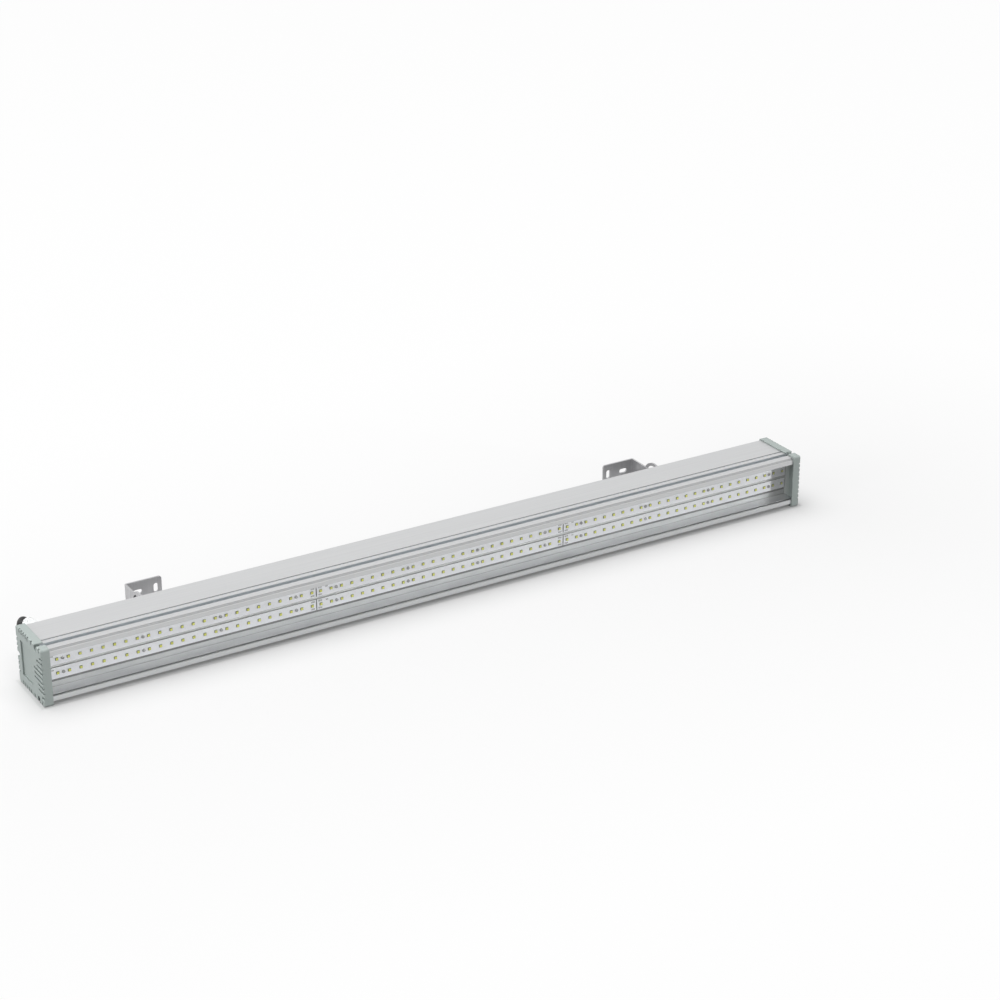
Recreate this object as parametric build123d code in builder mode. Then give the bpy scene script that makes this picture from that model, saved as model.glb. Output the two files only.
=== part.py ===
"""Linear LED light fixture, about a metre long, with two tilting brackets.

The frame: X runs along the fixture, the light leaves towards -Y, the brackets
stand out towards +Y, and +Z is up. The fixture lies on its lower side, as on a
table. The origin is under the middle of its footprint, brackets included.
All lengths are in millimetres.
"""

from build123d import *
from math import cos, pi, radians, sin, tan
import os

os.makedirs("parts", exist_ok=True)

# Driving dimensions of the extruded housing
housing_length = 987.2
housing_depth = 68.5
housing_height = 64.4
wall = 2.2
shelf = 1.6
web_thickness = 3.0
front_chamfer = 3.0
ridge_groove_width = 0.8
ridge_groove_depth = 0.8
ridge_spacing = 1.4
back_round = 1.2
trim_groove_width = 1.8
trim_groove_depth = 1.4
trim_groove_inset = 1.0

# T-slots along the top, the bottom and the back
slot_opening = 6.4
slot_channel = 10.6
slot_depth = 4.4
slot_wall = 1.6

# Front pane, held in a channel behind the front lips
front_lip = 1.8
pane_thickness = 4.0
pane_grip = 3.0
seal_wall = 0.5
seal_show = 0.2

# LED boards on the front of the web
cavity_depth = 14.6
board_thickness = 1.6
board_height = 13.2
board_gap = 1.4
row_spacing = 16.6
boards_per_row = 3
led_spacing = 13.25
led_end_gap = 3.0
led_size = 3.0
led_height = 1.2
leds_before_screw = 2
leds_between_screws = 7
board_screw_head = 4.0
board_screw_head_height = 1.6
board_screw_shank = 2.2
board_screw_hole = 2.8
board_screw_length = 4.8
screw_channel_width = 2.5
screw_channel_depth = 3.6

# End caps and their gaskets
cap_rim = 1.6
cap_plate = 5.5
cap_overlap = 3.9
cap_fit = 0.15
cap_corner = 2.5
gasket_thickness = 0.9
rib_spacing = 5.8
rib_groove_width = 2.2
rib_groove_depth = 1.6
front_groove_reach = (5.0, 14.0, 14.0, 23.0, 23.0, 23.0, 14.0, 14.0, 5.0)
back_groove_reach = 4.5
back_groove_steps = (-3.5, -2.5, -1.5, 1.5, 2.5, 3.5)
edge_groove_reach = 5.0
edge_groove_places = (-30.4, -8.9, 1.5, 7.3, 13.1, 18.9, 24.7)
panel_depth_size = 28.5
panel_height = 42.0
panel_recess = 2.0
panel_inset = 12.0
spigot_wall = 2.0
spigot_length = 9.0
spigot_fit = 0.35

# Driver on a tray in the housing's rear rails
rail_lift = 2.6
rail_lip = 1.5
rail_grip = 3.0
tray_thickness = 1.5
tray_fit = 0.1
tray_width = 49.4
tray_inset = 63.6
driver_length = 235.0
driver_width = 40.0
driver_height = 20.0
driver_inset = 10.0
driver_round = 2.0
driver_foot = 6.0
driver_foot_thickness = 2.0
driver_screw_head = 7.0
driver_screw_head_height = 2.2
terminal_length = 28.0
terminal_width = 18.0
terminal_height = 12.0
terminal_inset = 11.0
terminal_gap = 22.0
terminal_poles = 3
terminal_pole_spacing = 8.0
terminal_screw = 3.6

# M6 fasteners of the brackets
bolt = 6.0
bolt_clearance = 0.3
head_flats = 10.0
head_height = 4.0
nut_height = 5.0
washer_diameter = 12.0
washer_thickness = 1.2
bolt_show = 2.0

# Brackets
sheet = 2.0
bracket_inset = 146.1
base_width = 46.0
base_height = 40.8
base_offset = -9.6
base_corner = 4.0
base_hole_spacing_x = 22.2
base_hole_spacing_z = 20.5
base_hole_inset = 11.3
bend_radius = 0.8
pivot_offset = 25.75
ear_radius = 22.0
arc_slot_radius = 15.0
arc_slot_half_angle = 100.0
arm_gap = 0.3
arm_width = 26.0
arm_reach = 46.5
arm_plate_length = 45.0
arm_corner = 3.0
arm_slot_width = 5.5
arm_slot_length = 11.0
arm_near_slot = 15.3
arm_slot_spacing = 22.3

# Cable gland and supply cable
gland_inset = 17.6
gland_wall_gap = 3.3
gland_thread = 12.0
gland_flats = 17.0
gland_flange = 6.0
gland_nut_length = 24.0
gland_nut_hex = 11.0
gland_dome_end = 12.6
gland_inner_length = 9.0
gland_bore = 8.4
lock_nut_height = 4.0
seal_bore = 6.0
seal_recess = 3.0
cable_diameter = 7.0
cable_nut_clearance = 0.3
cable_ground_gap = 0.1

# Places that follow from the dimensions above
cap_depth = housing_depth + 2 * cap_rim
cap_height = housing_height + 2 * cap_rim
mid_z = cap_height / 2
plate_reach = housing_depth / 2 + pivot_offset + arm_reach
mid_y = (cap_depth / 2 - plate_reach) / 2
front_y = mid_y - housing_depth / 2
back_y = mid_y + housing_depth / 2
end_x = housing_length / 2

slot_pocket = wall + slot_depth + shelf
opening_half = housing_height / 2 - slot_pocket
pane_channel = pane_thickness + 2 * seal_wall
channel_front_y = front_y + front_lip
channel_back_y = channel_front_y + pane_channel
pane_half = opening_half + pane_grip
channel_half = pane_half + seal_wall
top_slot_y = channel_back_y + slot_wall + slot_channel / 2
web_front_y = channel_back_y + cavity_depth + shelf
web_back_y = web_front_y + web_thickness
rear_half = housing_height / 2 - wall
back_pocket_y = back_y - slot_pocket
row_z = (mid_z - row_spacing / 2, mid_z + row_spacing / 2)
board_front_y = web_front_y - board_thickness
pivot_y = back_y + pivot_offset
gland_x = gland_inset - end_x
gland_z = mid_z + rear_half - gland_wall_gap - gland_flats / 2


def bar(y_low, y_high, z_low, z_high, mode=Mode.ADD):
    """Rectangle of a cross-section, given by its four edges."""
    with Locations(((y_low + y_high) / 2, (z_low + z_high) / 2)):
        Rectangle(y_high - y_low, z_high - z_low, mode=mode)


def save(builder, name):
    """Label a finished piece and write it to its own file."""
    builder.part.label = name
    export_step(builder.part, f"parts/{name}.step")


def t_slots():
    """Cut the three T-slots out of a cross-section."""
    mouth = slot_opening / 2
    channel = slot_channel / 2
    for side in (-1, 1):
        outer = mid_z + side * housing_height / 2
        inner = outer - side * (wall + slot_depth)
        lip = outer - side * wall
        low, high = sorted((outer, inner))
        bar(top_slot_y - mouth, top_slot_y + mouth, low, high, Mode.SUBTRACT)
        low, high = sorted((lip, inner))
        bar(top_slot_y - channel, top_slot_y + channel, low, high, Mode.SUBTRACT)
    deep = back_y - wall - slot_depth
    bar(deep, back_y, mid_z - mouth, mid_z + mouth, Mode.SUBTRACT)
    bar(deep, back_y - wall, mid_z - channel, mid_z + channel, Mode.SUBTRACT)


def housing_outline(clearance=0.0):
    """Outer outline of the housing, or of a socket that fits around it."""
    with Locations((mid_y, mid_z)):
        outline = Rectangle(housing_depth + 2 * clearance, housing_height + 2 * clearance)
    chamfer(outline.vertices().group_by(Axis.X)[0], front_chamfer)
    fillet(outline.vertices().group_by(Axis.X)[-1], back_round)


# Housing: one extrusion with the pane channel, the board web, the T-slots and the rails
with BuildPart() as housing:
    with BuildSketch(Plane.YZ.offset(-end_x)):
        housing_outline()
        bar(front_y, web_front_y, mid_z - opening_half, mid_z + opening_half, Mode.SUBTRACT)
        bar(channel_front_y, channel_back_y, mid_z - channel_half, mid_z + channel_half, Mode.SUBTRACT)
        bar(web_back_y, back_y - wall, mid_z - rear_half, mid_z + rear_half, Mode.SUBTRACT)
        pocket_half = slot_channel / 2 + slot_wall
        bar(back_pocket_y, back_y - wall, mid_z - pocket_half, mid_z + pocket_half)
        t_slots()
        trim_y = web_front_y + trim_groove_inset
        for side in (-1, 1):
            outer = mid_z + side * housing_height / 2
            low, high = sorted((outer, outer - side * trim_groove_depth))
            half = trim_groove_width / 2
            bar(trim_y - half, trim_y + half, low, high, Mode.SUBTRACT)
            # Two fine grooves along the chamfer, square to its face
            ridge_y = front_y + front_chamfer / 2
            ridge_z = outer - side * front_chamfer / 2
            with Locations(Pos(ridge_y, ridge_z) * Rot(0, 0, -side * 45)):
                with GridLocations(0, ridge_spacing, 1, 2):
                    Rectangle(2 * ridge_groove_depth, ridge_groove_width, mode=Mode.SUBTRACT)
            row = mid_z + side * row_spacing / 2
            boss_half = screw_channel_width / 2 + shelf
            boss_y = web_front_y + screw_channel_depth + shelf
            bar(web_front_y, boss_y, row - boss_half, row + boss_half)
            half = screw_channel_width / 2
            bar(web_front_y, web_front_y + screw_channel_depth, row - half, row + half, Mode.SUBTRACT)
            rail_in = tray_width / 2 - rail_grip
            rail_out = tray_width / 2 + 2 * tray_fit
            hook_y = web_back_y + rail_lift + tray_thickness + 2 * tray_fit
            for y_low, y_high, z_in in (
                (web_back_y, web_back_y + rail_lift, rail_in),
                (web_back_y, hook_y + rail_lip, rail_out),
                (hook_y, hook_y + rail_lip, rail_in),
            ):
                low, high = sorted((mid_z + side * z_in, mid_z + side * (rail_out + rail_lip)))
                bar(y_low, y_high, low, high)
    extrude(amount=housing_length)
    with BuildSketch(Plane.XZ.offset(-back_y)):
        with Locations((gland_x, gland_z)):
            Circle(gland_thread / 2 + bolt_clearance / 2)
    extrude(amount=wall, mode=Mode.SUBTRACT)
save(housing, "housing_profile")

# Front pane and the two seals that hold its long edges
with BuildPart() as pane:
    with BuildSketch(Plane.YZ.offset(-end_x)):
        bar(
            channel_front_y + seal_wall,
            channel_back_y - seal_wall,
            mid_z - pane_half,
            mid_z + pane_half,
        )
    extrude(amount=housing_length)
save(pane, "front_pane")

for side, name in ((1, "pane_seal_upper"), (-1, "pane_seal_lower")):
    with BuildPart() as pane_seal:
        with BuildSketch(Plane.YZ.offset(-end_x)):
            seal_tip = opening_half + seal_show
            low, high = sorted((mid_z + side * seal_tip, mid_z + side * channel_half))
            bar(channel_front_y, channel_back_y, low, high)
            low, high = sorted((mid_z + side * seal_tip, mid_z + side * pane_half))
            bar(channel_front_y + seal_wall, channel_back_y - seal_wall, low, high, Mode.SUBTRACT)
        extrude(amount=housing_length)
    save(pane_seal, name)

# LED boards, their LEDs and their screws
board_spacing = housing_length / boards_per_row
board_length = board_spacing - board_gap
leds_per_board = 1 + int((board_length - led_size - 2 * led_end_gap) / led_spacing)
led_span = (leds_per_board - 1) * led_spacing
board_centres = [(i - (boards_per_row - 1) / 2) * board_spacing for i in range(boards_per_row)]
screw_counts = range(leds_before_screw, leds_per_board, leds_between_screws)
screw_offsets = [(count - 0.5) * led_spacing - led_span / 2 for count in screw_counts]

for row, z in zip(("lower", "upper"), row_z):
    for number, x in enumerate(board_centres, start=1):
        with BuildPart() as board:
            with BuildSketch(Plane.XZ.offset(-board_front_y)):
                with Locations((x, z)):
                    Rectangle(board_length, board_height)
                with Locations([(x + offset, z) for offset in screw_offsets]):
                    Circle(board_screw_hole / 2, mode=Mode.SUBTRACT)
            extrude(amount=-board_thickness)
        save(board, f"led_board_{row}_{number}")
        with BuildPart() as leds:
            with BuildSketch(Plane.XZ.offset(-board_front_y)):
                with Locations((x, z)):
                    with GridLocations(led_spacing, 0, leds_per_board, 1):
                        Rectangle(led_size, led_size)
            extrude(amount=led_height)
        save(leds, f"leds_{row}_{number}")
    with BuildPart() as board_screws:
        screw_places = [(x + offset, z) for x in board_centres for offset in screw_offsets]
        with BuildSketch(Plane.XZ.offset(-board_front_y)):
            with Locations(screw_places):
                Circle(board_screw_head / 2)
        extrude(amount=board_screw_head_height)
        with BuildSketch(Plane.XZ.offset(-board_front_y)):
            with Locations(screw_places):
                Circle(board_screw_shank / 2)
        extrude(amount=-board_screw_length)
    save(board_screws, f"board_screws_{row}")

# End caps: the right one is drawn, the left one is its mirror image
gasket_x = end_x
plate_x = gasket_x + gasket_thickness
outer_x = plate_x + cap_plate
rear_window = (
    web_back_y + rail_lift + tray_thickness + 2 * tray_fit + rail_lip + spigot_fit,
    back_pocket_y - spigot_fit,
    mid_z - rear_half + spigot_fit,
    mid_z + rear_half - spigot_fit,
)

with BuildPart() as gasket_right:
    with BuildSketch(Plane.YZ.offset(gasket_x)):
        housing_outline()
        bar(channel_back_y, web_front_y, mid_z - opening_half, mid_z + opening_half, Mode.SUBTRACT)
        bar(*rear_window, Mode.SUBTRACT)
        t_slots()
    extrude(amount=gasket_thickness)
save(gasket_right, "end_gasket_right")

with BuildPart() as cap_right:
    with BuildSketch(Plane.YZ.offset(plate_x - gasket_thickness - cap_overlap)):
        with Locations((mid_y, mid_z)):
            outline = Rectangle(cap_depth, cap_height)
        fillet(outline.vertices(), cap_corner)
    extrude(amount=cap_overlap + gasket_thickness + cap_plate)
    outer_edges = cap_right.faces().sort_by(Axis.X)[-1].edges()
    chamfer(outer_edges, cap_rim / 3)
    with BuildSketch(Plane.YZ.offset(plate_x)):
        housing_outline(cap_fit)
    extrude(amount=-(gasket_thickness + cap_overlap), mode=Mode.SUBTRACT)
    # Spigot that plugs into the rear cavity
    with BuildSketch(Plane.YZ.offset(plate_x)):
        y_low, y_high, z_low, z_high = rear_window
        y_low += spigot_fit
        y_high -= spigot_fit
        bar(y_low, y_high, z_low, z_high)
        bar(
            y_low + spigot_wall,
            y_high - spigot_wall,
            z_low + spigot_wall,
            z_high - spigot_wall,
            Mode.SUBTRACT,
        )
    extrude(amount=-spigot_length)
    # Notches that leave the ends of the T-slots open
    with BuildSketch(Plane.YZ.offset(plate_x - gasket_thickness - cap_overlap)):
        notch_depth = cap_rim + wall
        for side in (-1, 1):
            edge = mid_z + side * cap_height / 2
            low, high = sorted((edge, edge - side * notch_depth))
            bar(top_slot_y - slot_opening / 2, top_slot_y + slot_opening / 2, low, high)
            with Locations((top_slot_y, edge - side * notch_depth)):
                Circle(slot_opening / 2)
        edge = mid_y + cap_depth / 2
        bar(edge - notch_depth, edge, mid_z - slot_opening / 2, mid_z + slot_opening / 2)
        with Locations((edge - notch_depth, mid_z)):
            Circle(slot_opening / 2)
    extrude(amount=cap_overlap + gasket_thickness + cap_plate, mode=Mode.SUBTRACT)
    # Recessed panel and ribbed edges on the outer face
    with BuildSketch(Plane.YZ.offset(outer_x)):
        panel_y = mid_y + cap_depth / 2 - panel_inset - panel_depth_size / 2
        with Locations((panel_y, mid_z)):
            Rectangle(panel_depth_size, panel_height)
    extrude(amount=-panel_recess, mode=Mode.SUBTRACT)
    with BuildSketch(Plane.YZ.offset(outer_x)):
        cap_front = mid_y - cap_depth / 2
        cap_back = mid_y + cap_depth / 2
        middle = (len(front_groove_reach) - 1) / 2
        for place, reach in enumerate(front_groove_reach):
            z = mid_z + (place - middle) * rib_spacing
            bar(cap_front, cap_front + reach, z - rib_groove_width / 2, z + rib_groove_width / 2)
        for step in back_groove_steps:
            z = mid_z + step * rib_spacing
            bar(cap_back - back_groove_reach, cap_back, z - rib_groove_width / 2, z + rib_groove_width / 2)
        for side in (-1, 1):
            edge = mid_z + side * cap_height / 2
            low, high = sorted((edge, edge - side * edge_groove_reach))
            for place in edge_groove_places:
                y = mid_y + place
                bar(y - rib_groove_width / 2, y + rib_groove_width / 2, low, high)
    extrude(amount=-rib_groove_depth, mode=Mode.SUBTRACT)
save(cap_right, "end_cap_right")

with BuildPart() as gasket_left:
    mirror(gasket_right.part, about=Plane.YZ)
save(gasket_left, "end_gasket_left")

with BuildPart() as cap_left:
    mirror(cap_right.part, about=Plane.YZ)
save(cap_left, "end_cap_left")

# Driver, its tray and the terminal block, in the rear cavity
tray_y = web_back_y + rail_lift + tray_fit
tray_top_y = tray_y + tray_thickness
driver_span = driver_length + 4 * driver_foot
tray_length = terminal_inset + terminal_length + terminal_gap + driver_span + driver_inset
tray_x = -end_x + tray_inset + tray_length / 2
driver_half = driver_length / 2
driver_x = tray_x + tray_length / 2 - driver_inset - driver_span / 2
foot_centres = [driver_x - driver_half - driver_foot, driver_x + driver_half + driver_foot]

with BuildPart() as tray:
    with BuildSketch(Plane.XZ.offset(-tray_y)):
        with Locations((tray_x, mid_z)):
            Rectangle(tray_length, tray_width)
    extrude(amount=-tray_thickness)
save(tray, "driver_tray")

with BuildPart() as driver:
    with BuildSketch(Plane.XZ.offset(-tray_top_y)):
        with Locations((driver_x, mid_z)):
            Rectangle(driver_length, driver_width)
    extrude(amount=-driver_height)
    fillet(driver.edges().filter_by(Axis.X).group_by(Axis.Y)[-1], driver_round)
    with BuildSketch(Plane.XZ.offset(-tray_top_y)):
        with Locations((driver_x, mid_z)):
            Rectangle(driver_span, driver_width / 2)
    extrude(amount=-driver_foot_thickness)
save(driver, "driver")

with BuildPart() as driver_screws:
    with BuildSketch(Plane.XZ.offset(-(tray_top_y + driver_foot_thickness))):
        with Locations([(x, mid_z) for x in foot_centres]):
            Circle(driver_screw_head / 2)
    extrude(amount=-driver_screw_head_height)
save(driver_screws, "driver_screws")

with BuildPart() as terminal:
    terminal_x = tray_x - tray_length / 2 + terminal_inset + terminal_length / 2
    with BuildSketch(Plane.XZ.offset(-tray_top_y)):
        with Locations((terminal_x, mid_z)):
            Rectangle(terminal_length, terminal_width)
    extrude(amount=-terminal_height)
    with BuildSketch(Plane.XZ.offset(-(tray_top_y + terminal_height))):
        with Locations((terminal_x, mid_z)):
            with GridLocations(terminal_pole_spacing, 0, terminal_poles, 1):
                Circle(terminal_screw / 2)
    extrude(amount=terminal_height / 2, mode=Mode.SUBTRACT)
save(terminal, "terminal_block")

# Brackets: the right one is drawn, and the left one is the same part turned
# half a turn about the axis that points out of the fixture's back
half_turn = Axis((0, 0, mid_z), (0, 1, 0))
bracket_outer_x = end_x - bracket_inset
base_inner_x = bracket_outer_x - base_width
base_z = mid_z + base_offset
hole_xs = (base_inner_x + base_hole_inset, base_inner_x + base_hole_inset + base_hole_spacing_x)
base_face_y = back_y + sheet
ear_inner_x = bracket_outer_x - sheet
arm_outer_x = ear_inner_x - arm_gap
arm_inner_x = arm_outer_x - sheet
arm_face_y = pivot_y + arm_reach
clamp_y = pivot_y + arc_slot_radius
shank_hole = bolt / 2 + bolt_clearance
ear_root_low = mid_z - ear_radius
ear_root_high = base_z + base_height / 2

with BuildPart() as base_right:
    with BuildSketch(Plane.XZ.offset(-back_y)):
        with Locations((bracket_outer_x - base_width / 2, base_z)):
            plate = Rectangle(base_width, base_height)
        fillet(plate.vertices().group_by(Axis.X)[0], base_corner)
        with Locations([(x, z) for x in hole_xs for z in (mid_z, mid_z - base_hole_spacing_z)]):
            Circle(shank_hole, mode=Mode.SUBTRACT)
    extrude(amount=-sheet)
    with BuildSketch(Plane.YZ.offset(ear_inner_x)):
        with BuildLine():
            CenterArc((pivot_y, mid_z), ear_radius, 0, 360)
            Line((back_y, ear_root_low), (back_y, ear_root_high))
        make_hull()
    extrude(amount=sheet)
    bend = base_right.edges().filter_by(Axis.Z).group_by(Axis.X)
    fillet(bend[-1].sort_by(Axis.Y)[0], 2 * bend_radius)
    # Pivot hole, and the arc slot of the clamp bolt around it
    with BuildSketch(Plane.YZ.offset(ear_inner_x)):
        with Locations((pivot_y, mid_z)):
            Circle(arc_slot_radius + shank_hole)
            Circle(arc_slot_radius - shank_hole, mode=Mode.SUBTRACT)
        side_y = pivot_y + ear_radius * cos(radians(arc_slot_half_angle))
        side_z = ear_radius * sin(radians(arc_slot_half_angle))
        with BuildLine():
            Polyline(
                (pivot_y, mid_z),
                (side_y, mid_z + side_z),
                (pivot_y - ear_radius, mid_z + side_z),
                (pivot_y - ear_radius, mid_z - side_z),
                (side_y, mid_z - side_z),
                close=True,
            )
        make_face(mode=Mode.SUBTRACT)
        with Locations((pivot_y, mid_z)):
            Circle(shank_hole)
            with PolarLocations(arc_slot_radius, 2, -arc_slot_half_angle, 2 * arc_slot_half_angle, False, True):
                Circle(shank_hole)
    extrude(amount=sheet, mode=Mode.SUBTRACT)
save(base_right, "base_bracket_right")

with BuildPart() as arm_right:
    with BuildSketch(Plane.YZ.offset(arm_inner_x)):
        with Locations((pivot_y, mid_z)):
            Circle(arm_width / 2)
        bar(pivot_y, arm_face_y, mid_z - arm_width / 2, mid_z + arm_width / 2)
        with Locations((pivot_y, mid_z), (clamp_y, mid_z)):
            Circle(shank_hole, mode=Mode.SUBTRACT)
    extrude(amount=sheet)
    with BuildSketch(Plane.XZ.offset(-arm_face_y)):
        with Locations((arm_outer_x - arm_plate_length / 2, mid_z)):
            plate = Rectangle(arm_plate_length, arm_width)
        fillet(plate.vertices().group_by(Axis.X)[0], arm_corner)
        with Locations((arm_outer_x - arm_near_slot, mid_z)):
            SlotOverall(arm_slot_length, arm_slot_width, mode=Mode.SUBTRACT)
        with Locations((arm_outer_x - arm_near_slot - arm_slot_spacing, mid_z)):
            SlotOverall(arm_slot_length, arm_slot_width, rotation=90, mode=Mode.SUBTRACT)
    extrude(amount=sheet)
    bend = arm_right.edges().filter_by(Axis.Z).group_by(Axis.Y)
    fillet(bend[-1].sort_by(Axis.X)[-1], bend_radius + sheet)
save(arm_right, "swivel_arm_right")

with BuildPart() as slot_bolts_right:
    head_y = back_y - wall
    with BuildSketch(Plane.XZ.offset(-head_y)):
        with Locations([(x, mid_z) for x in hole_xs]):
            RegularPolygon(head_flats / 2, 6, major_radius=False)
    extrude(amount=head_height)
    with BuildSketch(Plane.XZ.offset(-head_y)):
        with Locations([(x, mid_z) for x in hole_xs]):
            Circle(bolt / 2)
    extrude(amount=-(wall + sheet + washer_thickness + nut_height + bolt_show))
save(slot_bolts_right, "slot_bolts_right")

with BuildPart() as slot_washers_right:
    with BuildSketch(Plane.XZ.offset(-base_face_y)):
        with Locations([(x, mid_z) for x in hole_xs]):
            Circle(washer_diameter / 2)
            Circle(shank_hole, mode=Mode.SUBTRACT)
    extrude(amount=-washer_thickness)
save(slot_washers_right, "slot_washers_right")

with BuildPart() as slot_nuts_right:
    with BuildSketch(Plane.XZ.offset(-(base_face_y + washer_thickness))):
        with Locations([(x, mid_z) for x in hole_xs]):
            RegularPolygon(head_flats / 2, 6, major_radius=False)
            Circle(bolt / 2, mode=Mode.SUBTRACT)
    extrude(amount=-nut_height)
save(slot_nuts_right, "slot_nuts_right")

arm_bolt_places = ((pivot_y, mid_z), (clamp_y, mid_z))
arm_bolt_reach = sheet + arm_gap + sheet + washer_thickness + nut_height + bolt_show

with BuildPart() as arm_bolts_right:
    with BuildSketch(Plane.YZ.offset(bracket_outer_x + arm_gap)):
        with Locations(*arm_bolt_places):
            RegularPolygon(head_flats / 2, 6, major_radius=False)
    extrude(amount=head_height)
    with BuildSketch(Plane.YZ.offset(bracket_outer_x + arm_gap)):
        with Locations(*arm_bolt_places):
            Circle(bolt / 2)
    extrude(amount=-(arm_gap + arm_bolt_reach))
save(arm_bolts_right, "arm_bolts_right")

with BuildPart() as arm_washers_right:
    with BuildSketch(Plane.YZ.offset(arm_inner_x)):
        with Locations(*arm_bolt_places):
            Circle(washer_diameter / 2)
            Circle(shank_hole, mode=Mode.SUBTRACT)
    extrude(amount=-washer_thickness)
save(arm_washers_right, "arm_washers_right")

with BuildPart() as arm_nuts_right:
    with BuildSketch(Plane.YZ.offset(arm_inner_x - washer_thickness)):
        with Locations(*arm_bolt_places):
            RegularPolygon(head_flats / 2, 6, major_radius=False)
            Circle(bolt / 2, mode=Mode.SUBTRACT)
    extrude(amount=-nut_height)
save(arm_nuts_right, "arm_nuts_right")

for right_piece, left_name in (
    (base_right, "base_bracket_left"),
    (arm_right, "swivel_arm_left"),
    (slot_bolts_right, "slot_bolts_left"),
    (slot_washers_right, "slot_washers_left"),
    (slot_nuts_right, "slot_nuts_left"),
    (arm_bolts_right, "arm_bolts_left"),
    (arm_washers_right, "arm_washers_left"),
    (arm_nuts_right, "arm_nuts_left"),
):
    with BuildPart() as left_piece:
        add(right_piece.part.rotate(half_turn, 180))
    save(left_piece, left_name)

# Cable gland through the back wall, near the left end
gland_nut_y = back_y + gland_flange
gland_end_y = gland_nut_y + gland_nut_length
gland_seal_y = gland_end_y - seal_recess

with BuildPart() as gland_body:
    with BuildSketch(Plane.XZ.offset(-back_y)):
        with Locations((gland_x, gland_z)):
            RegularPolygon(gland_flats / 2, 6, major_radius=False)
    extrude(amount=-gland_flange)
    with BuildSketch(Plane.XZ.offset(-(back_y - wall - gland_inner_length))):
        with Locations((gland_x, gland_z)):
            Circle(gland_thread / 2)
    extrude(amount=-(gland_inner_length + wall + gland_flange + gland_nut_hex - bolt_clearance))
    with BuildSketch(Plane.XZ.offset(-(back_y - wall - gland_inner_length))):
        with Locations((gland_x, gland_z)):
            Circle(gland_bore / 2)
    through = gland_inner_length + wall + gland_flange + gland_nut_hex
    extrude(amount=-through, mode=Mode.SUBTRACT)
save(gland_body, "gland_body")

with BuildPart() as gland_nut:
    with BuildSketch(Plane.XZ.offset(-gland_nut_y)):
        with Locations((gland_x, gland_z)):
            RegularPolygon(gland_flats / 2, 6, major_radius=False)
    extrude(amount=-gland_nut_hex)
    with BuildSketch(Plane.XZ.offset(-(gland_nut_y + gland_nut_hex))):
        with Locations((gland_x, gland_z)):
            Circle(gland_flats / 2)
    with BuildSketch(Plane.XZ.offset(-gland_end_y)):
        with Locations((gland_x, gland_z)):
            Circle(gland_dome_end / 2)
    loft()
    with BuildSketch(Plane.XZ.offset(-gland_nut_y)):
        with Locations((gland_x, gland_z)):
            Circle(gland_thread / 2 + bolt_clearance / 2)
    extrude(amount=-(gland_nut_length - seal_recess), mode=Mode.SUBTRACT)
    with BuildSketch(Plane.XZ.offset(-gland_nut_y)):
        with Locations((gland_x, gland_z)):
            Circle(cable_diameter / 2 + cable_nut_clearance)
    extrude(amount=-gland_nut_length, mode=Mode.SUBTRACT)
save(gland_nut, "gland_nut")

with BuildPart() as gland_seal:
    with BuildSketch(Plane.XZ.offset(-gland_seal_y)):
        with Locations((gland_x, gland_z)):
            Circle(gland_thread / 2)
            Circle(seal_bore / 2, mode=Mode.SUBTRACT)
    extrude(amount=gland_nut_length - seal_recess - gland_nut_hex)
save(gland_seal, "gland_seal")

with BuildPart() as lock_nut:
    with BuildSketch(Plane.XZ.offset(-(back_y - wall))):
        with Locations((gland_x, gland_z)):
            RegularPolygon(gland_flats / 2, 6, major_radius=False)
            Circle(gland_thread / 2, mode=Mode.SUBTRACT)
    extrude(amount=lock_nut_height)
save(lock_nut, "gland_lock_nut")

# Supply cable: out of the gland, down to the ground and along it to its cut end.
# Each point is given by its way along X and Y from the gland's seal, and its
# share of the drop from the gland to the ground.
cable_steps = (
    (0.0, 0.0, 1.0),
    (0.0, 8.7, 1.0),
    (0.0, 18.9, 0.929),
    (0.0, 27.2, 0.794),
    (0.7, 32.7, 0.611),
    (3.0, 35.0, 0.405),
    (8.4, 34.7, 0.222),
    (16.4, 31.9, 0.086),
    (25.7, 26.5, 0.014),
    (35.0, 18.6, 0.0),
    (43.6, 9.1, 0.0),
    (53.4, -0.1, 0.0),
    (64.8, -7.3, 0.0),
    (77.5, -11.7, 0.0),
    (91.0, -13.7, 0.0),
    (105.0, -14.2, 0.0),
)
ground_z = cable_diameter / 2 + cable_ground_gap
cable_route = [
    (gland_x + along, gland_seal_y + out, ground_z + share * (gland_z - ground_z))
    for along, out, share in cable_steps
]


def arc_radii(route):
    """Radius of the arc at each inner point: 0.45 of the shorter run over tan(half the turn)."""
    points = [Vector(*point) for point in route]
    radii = []
    for before, here, after in zip(points, points[1:], points[2:]):
        turn = radians((here - before).get_angle(after - here))
        shorter = min((here - before).length, (after - here).length)
        radii.append(0.45 * shorter / tan(turn / 2))
    return radii


cable_radii = arc_radii(cable_route)
with BuildPart() as cable:
    with BuildLine() as cable_line:
        FilletPolyline(*cable_route, radius=cable_radii)
    with BuildSketch(Plane(origin=cable_route[0], z_dir=Vector(*cable_route[1]) - Vector(*cable_route[0]))):
        Circle(cable_diameter / 2)
    sweep(path=cable_line.wires()[0])
save(cable, "supply_cable")

cable_length = cable_line.wires()[0].length
cable_section = pi * cable_diameter**2 / 4
print("cable radii", [round(radius, 1) for radius in cable_radii])
print("cable length", round(cable_length, 1))
print("cable volume over section times length", round(cable.part.volume / (cable_section * cable_length), 5))
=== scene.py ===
# %% [markdown]
# # A linear LED light fixture
#
# This notebook dresses a slim light fixture, about a metre long. Its pieces come in as
# exact solids that never move: the aluminium housing, the end caps, the pane, the boards
# and the brackets. Here they get their finishes, and the small pieces that carry the eye,
# such as the LEDs, the screws, the bolts and the cable, are modelled again in full.
# The light leaves the fixture towards -Y, the brackets stand out towards +Y, and +Z is up.

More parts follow.
